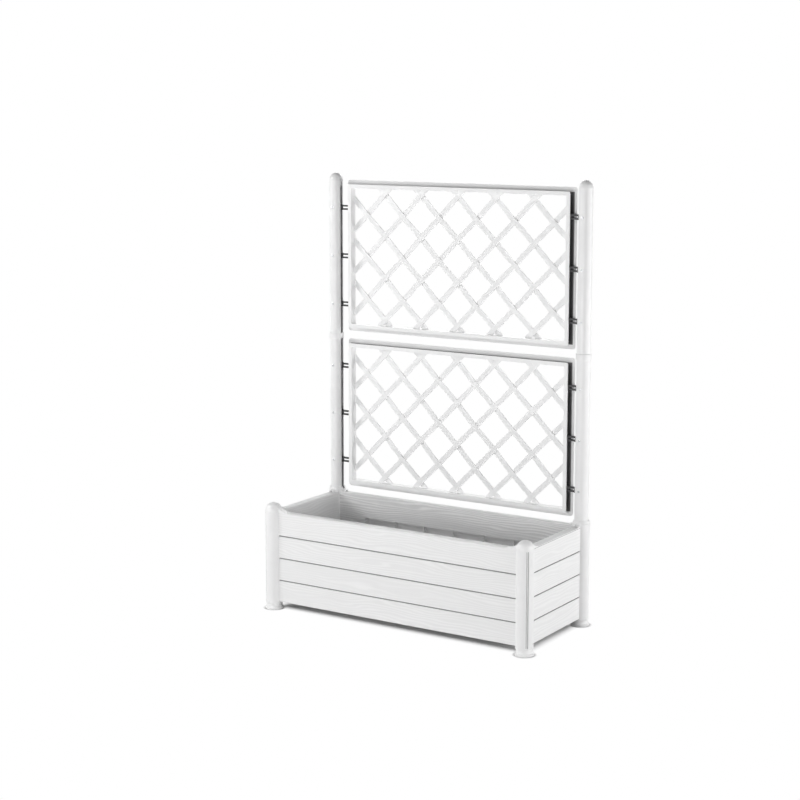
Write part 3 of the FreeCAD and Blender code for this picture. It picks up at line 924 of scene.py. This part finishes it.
@dataclass
class ColumnCollar(Crown):
    """The collar of a back post, in which a column stands.

    PROFILE is its outside, as radius and height in millimetres: a flange, a crease, a tapered
    ring and a sunk seam round the column.
    """

    KIND: ClassVar[str] = "collar"
    PROFILE: ClassVar[tuple[tuple[float, float], ...]] = (
        (28.5, 6.8), (27.9, 7.5), (26.8, 8.5), (27.6, 9.6), (27.2, 11.5),
        (25.6, 16.4), (25.0, 17.0), (24.2, 17.0), (23.9, 14.4))

    lug_reach: float = 38 * MM
    lug_lip: float = 4.5 * MM
    sweep_radius: float = 20 * MM
    flange_radius: float = 28.5 * MM
    column_radius: float = 22.6 * MM
    seat_height: float = 3 * MM
    bore_length: float = 30 * MM
    slot_half_width: float = 6 * MM
    notch: tuple[float, float] = (21 * MM, 31 * MM)
    notch_levels: tuple[float, float] = (9 * MM, 30 * MM)
    mouth: tuple[float, float] = (30 * MM, 40 * MM)
    mouth_levels: tuple[float, float] = (-9 * MM, 3.2 * MM)

    def head(self) -> bpy.types.Object:
        """Model the ring of the collar."""
        return Bench.turned(self.flange_radius,
                            [(radius * MM, height * MM) for radius, height in self.PROFILE])

    def opening(self, reach: Sequence[float], levels: Sequence[float],
                along_x: bool) -> bpy.types.Object:
        """Make a cutter as wide as the column's slot.

        Args:
            reach: Nearest and farthest place from the post's axis.
            levels: Lowest and highest place.
            along_x: Away from the axis along +X, else along +Y.

        Returns:
            The cutter.
        """
        sideways = (-self.slot_half_width, self.slot_half_width)
        ranges = (reach, sideways, levels) if along_x else (sideways, reach, levels)
        return Bench.block(*zip(*ranges))

    def finish_off(self, crown: bpy.types.Object) -> None:
        """Bore the collar for the column, notch it at the column's slot and open the lugs below.

        Args:
            crown: The collar, in its own frame.
        """
        middle = self.seat_height + self.bore_length / 2
        Bench.cut(crown, Bench.rod(self.column_radius, (0, 0, middle), self.bore_length))
        notch_along_x = self.corner == "back_right"
        Bench.cut(crown, self.opening(self.notch, self.notch_levels, notch_along_x))
        for along_x in (True, False):
            Bench.cut(crown, self.opening(self.mouth, self.mouth_levels, along_x))


@dataclass
class ClipScrews:
    """The six cross-recessed screws of one column, which hold its clips."""

    side: str
    finish: ZincSteel = ZincSteel()
    head_radius: float = 3.6 * MM
    head_height: float = 2.0 * MM
    shank_radius: float = 1.75 * MM
    shank_length: float = 20.0 * MM
    tip_length: float = 2.0 * MM
    tip_taper: float = 0.25
    head_sides: int = 32
    head_steps: tuple[tuple[float, float], ...] = ((0.22, 0.18), (0.25, 0.08))
    recess_width: float = 0.9 * MM
    recess_reach: float = 2.1 * MM
    recess_depth: float = 1.3 * MM
    recess_taper: float = 0.6
    crest: float = 1.3
    clip_levels: tuple[float, ...] = (0.439, 0.6025, 0.766, 0.9775, 1.141, 1.3045)
    turn_per_metre: float = 40

    @property
    def node(self) -> str:
        """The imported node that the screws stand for."""
        return f"{self.side}_clip_screws"

    def screw(self) -> bpy.types.Object:
        """Model one screw, its head looking up, its seat at the origin."""
        screw = Bench.rod(self.head_radius, (0, 0, self.head_height / 2), self.head_height,
                          sides=self.head_sides)
        Bench.pick(screw, lambda face: face.normal.z < -0.9)
        bpy.ops.mesh.inset(thickness=self.head_radius - self.shank_radius)
        for length, taper in ((self.shank_length, 1.0), (self.tip_length, self.tip_taper)):
            bpy.ops.mesh.extrude_region_move(TRANSFORM_OT_translate={"value": (0, 0, -length)})
            bpy.ops.transform.resize(value=(taper, taper, 1))
        Bench.close()
        Bench.pick(screw, lambda face: face.normal.z > 0.9)
        for inset, rise in self.head_steps:
            bpy.ops.mesh.inset(thickness=self.head_radius * inset)
            bpy.ops.transform.translate(value=(0, 0, self.head_height * rise))
        Bench.close()
        self.cut_cross(screw)
        Bench.soften(screw)
        return screw

    def cut_cross(self, screw: bpy.types.Object) -> None:
        """Cut the cross recess into the head.

        Args:
            screw: The screw, its head looking up.
        """
        top = self.head_height * self.crest
        for turn in (0.0, math.pi / 2):
            Bench.clear()
            bpy.ops.mesh.primitive_cube_add(
                size=1, location=(0, 0, top), rotation=(0, 0, turn),
                scale=(2 * self.recess_reach, self.recess_width, 2 * self.recess_depth))
            cutter = bpy.context.object
            bpy.ops.object.transform_apply(location=True, rotation=True, scale=True)
            Bench.pick(cutter, lambda face: face.normal.z < -0.9)
            bpy.ops.transform.resize(value=(self.recess_taper, self.recess_taper, 1))
            Bench.close()
            Bench.cut(screw, cutter)

    def build(self) -> bpy.types.Object:
        """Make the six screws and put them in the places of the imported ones.

        Returns:
            The screws, as one piece.
        """
        low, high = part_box(self.node)
        axis_x = (low.x + high.x) / 2
        seat_y = low.y + self.head_height
        pattern = self.screw()
        turn = Matrix.Rotation(math.radians(90), 4, "X")
        copies = []
        for level in self.clip_levels:
            copy = pattern.copy()
            copy.data = pattern.data.copy()
            bpy.context.scene.collection.objects.link(copy)
            spin = Matrix.Rotation(level * self.turn_per_metre, 4, "Z")
            copy.data.transform(Matrix.Translation((axis_x, seat_y, level)) @ turn @ spin)
            copies.append(copy)
        bpy.data.objects.remove(pattern)
        screws = Bench.join(copies, f"{self.side}_clip_screw_set")
        screws.data.materials.clear()
        screws.data.materials.append(self.finish.paint(f"{self.side}_screw_steel"))
        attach(screws, ROOT_BODY)
        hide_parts(self.node)
        return screws


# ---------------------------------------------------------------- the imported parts' finishes


@dataclass
class Dresser:
    """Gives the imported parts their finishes."""

    nodes: dict[str, bpy.types.Object]

    def wear(self, material: bpy.types.Material, *names: str) -> None:
        """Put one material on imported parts.

        Args:
            material: The material.
            names: The parts' names.
        """
        for name in names:
            part = self.nodes[name]
            part.data.materials.clear()
            part.data.materials.append(material)
            LOG.info("%s wears %s", name, material.name)

    def dress(self) -> None:
        """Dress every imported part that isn't replaced."""
        smooth = WhitePlastic().paint("smooth_white_plastic")
        grooved = PostPlastic().paint("grooved_white_plastic")
        across = GrainedPlastic(run=Run.ACROSS).paint("grained_white_plastic_across")
        deep = GrainedPlastic(run=Run.DEPTH, bead=323.4 * MM, inner_wall=465 * MM, inner_grain=0.25)
        deep = deep.paint("grained_white_plastic_deep")
        moulded = WhitePlastic(run=Run.ACROSS, line_pitch=5 * MM).paint("moulded_white_plastic")
        trellis = TrellisPlastic().paint("trellis_white_plastic")
        clip = DarkPlastic().paint("dark_clip_plastic")
        self.wear(across, "front_panel", "back_panel")
        self.wear(deep, "left_panel", "right_panel")
        self.wear(moulded, "floor_panel")
        self.wear(trellis, "lower_trellis", "upper_trellis")
        self.wear(smooth, *[f"{corner}_foot" for corner in CORNERS])
        self.wear(grooved, *[f"{corner}_post" for corner in CORNERS])
        for side in SIDES:
            self.wear(smooth, f"{side}_lower_column", f"{side}_upper_column",
                      f"{side}_column_sleeve", f"{side}_top_cap")
            self.wear(clip, f"{side}_trellis_clips")


# ---------------------------------------------------------------- studio


@dataclass(frozen=True)
class Lamp:
    """A soft rectangular lamp round the planter, which looks at a point on its axis."""

    name: str
    azimuth: float
    elevation: float
    height: float
    power: float
    width: float = 1.3
    distance: float = 3.4
    aim_height: float = 0.6

    def place(self) -> None:
        """Add the lamp."""
        bearing, rise = math.radians(self.azimuth), math.radians(self.elevation)
        away = Vector((math.sin(bearing) * math.cos(rise), -math.cos(bearing) * math.cos(rise),
                       math.sin(rise)))
        aim = Vector((0, 0, self.aim_height))
        bpy.ops.object.light_add(type="AREA", location=aim + away * self.distance)
        lamp = bpy.context.object
        lamp.name = self.name
        lamp.rotation_euler = away.to_track_quat("Z", "Y").to_euler()
        lamp.data.shape = "RECTANGLE"
        lamp.data.size, lamp.data.size_y = self.width, self.height
        lamp.data.energy = self.power


@dataclass(frozen=True)
class Studio:
    """A white floor, an even white surround and soft lamps."""

    lamps: tuple[Lamp, ...] = (
        Lamp("low_front_lamp", 0, 2, 1.1, 45),
        Lamp("left_lamp", -60, 22, 1.3, 52),
        Lamp("right_front_lamp", 75, 3, 1.1, 24),
        Lamp("right_lamp", 105, 3, 1.1, 18),
        Lamp("right_back_lamp", 120, 3, 1.1, 28),
        Lamp("back_left_lamp", -150, 22, 1.3, 18),
        Lamp("back_lamp", 180, 30, 1.3, 18),
        Lamp("high_lamp", 0, 80, 1.3, 8),
    )
    surround: float = 0.05
    floor_size: float = 60.0
    floor_colour: Colour = (0.92, 0.92, 0.92)
    # Darker floor colour below the planter and round its feet: painted shadow.
    shadow_colour: Colour = (0.72, 0.72, 0.72)
    core: tuple[float, float] = (0.44, 0.145)
    core_fade: float = 0.045
    foot_place: tuple[float, float] = (0.47, 0.185)
    foot_radius: float = 0.0295
    foot_fade: float = 0.011

    @staticmethod
    def seen(paint: Paint) -> Signal:
        """One for rays that show the surround itself or its mirror image, nought for its light.

        Args:
            paint: The floor's or the world's tree.

        Returns:
            The mask.
        """
        path = paint.node("ShaderNodeLightPath", {}, {})
        rays = [Signal(paint, path.outputs[f"Is {kind} Ray"])
                for kind in ("Camera", "Glossy", "Transmission")]
        return rays[0].at_least(rays[1]).at_least(rays[2])

    def floor(self) -> None:
        """Add the floor: it keeps the shadow below the planter, deepened with painted shadow, and
        turns plain white around it.
        """
        Bench.clear()
        bpy.ops.mesh.primitive_plane_add(size=self.floor_size)
        floor = bpy.context.object
        floor.name = "studio_floor"
        paint = Paint.material("studio_floor_white")
        place = [abs(axis) for axis in paint.position()[:2]]
        beyond = [(axis - half).at_least(0.0) for axis, half in zip(place, self.core)]
        from_foot = [axis - foot for axis, foot in zip(place, self.foot_place)]
        far = paint.length(*beyond).ease(0.0, self.core_fade)
        clear = paint.length(*from_foot).ease(self.foot_radius, self.foot_radius + self.foot_fade)
        open_floor = far * clear
        # Painted shadow: the floor's colour is darker below the planter and round its feet.
        colour = paint.blend(open_floor, self.shadow_colour, self.floor_colour)
        matt = paint.node("ShaderNodeBsdfDiffuse", {}, {"Color": colour})
        plain = paint.node("ShaderNodeEmission", {}, {"Strength": 1.0})
        both = paint.node("ShaderNodeMixShader", {}, {
            0: open_floor * self.seen(paint), 1: matt.outputs[0], 2: plain.outputs[0]})
        paint.node("ShaderNodeOutputMaterial", {}, {"Surface": both.outputs[0]})
        floor.data.materials.append(paint.owner)

    def sky(self) -> None:
        """Light the planter evenly from all round, and show plain white behind it."""
        paint = Paint(bpy.data.worlds.new("studio_surround"))
        bpy.context.scene.world = paint.owner
        strength = self.seen(paint) * (1 - self.surround) + self.surround
        back = paint.node("ShaderNodeBackground", {}, {"Color": (1, 1, 1, 1), "Strength": strength})
        paint.node("ShaderNodeOutputWorld", {}, {"Surface": back.outputs[0]})

    def build(self) -> None:
        """Set up the whole studio."""
        self.floor()
        self.sky()
        for lamp in self.lamps:
            lamp.place()
        LOG.info("studio with %d lamps", len(self.lamps))


@dataclass(frozen=True)
class Photographer:
    """The camera, at the photograph's viewing angle."""

    position: tuple[float, float, float] = (2.9815, -4.8125, 1.6930)
    yaw: float = 32.596
    pitch: float = 8.285
    focal_pixels: float = 1793.6
    frame_pixels: float = 800.0
    centre_row: float = 352.0
    sensor: float = 36.0

    def build(self) -> None:
        """Add the camera and make it the scene's own."""
        scene = bpy.context.scene
        scene.view_settings.view_transform = "Standard"
        turn = (math.radians(90 - self.pitch), 0, math.radians(self.yaw))
        bpy.ops.object.camera_add(location=self.position, rotation=turn)
        camera = bpy.context.object
        camera.name = "photo_camera"
        camera.data.sensor_width = self.sensor
        camera.data.lens = self.focal_pixels / self.frame_pixels * self.sensor
        camera.data.shift_y = (self.centre_row - self.frame_pixels / 2) / self.frame_pixels
        scene.camera = camera
        LOG.info("camera with a %.1f mm lens", camera.data.lens)


def main() -> None:
    """Dress the planter and set up its studio."""
    logging.basicConfig(level=logging.INFO, format="%(message)s")
    Photographer().build()
    Dresser(frame["nodes"]).dress()
    plastic = WhitePlastic().paint("crown_white_plastic")
    for crown in (DomedCap("front_left", plastic), DomedCap("front_right", plastic),
                  ColumnCollar("back_left", plastic), ColumnCollar("back_right", plastic)):
        LOG.info("%s built", crown.build().name)
    for side in SIDES:
        LOG.info("%s built", ClipScrews(side).build().name)
    Studio().build()


if __name__ == "__main__":
    main()
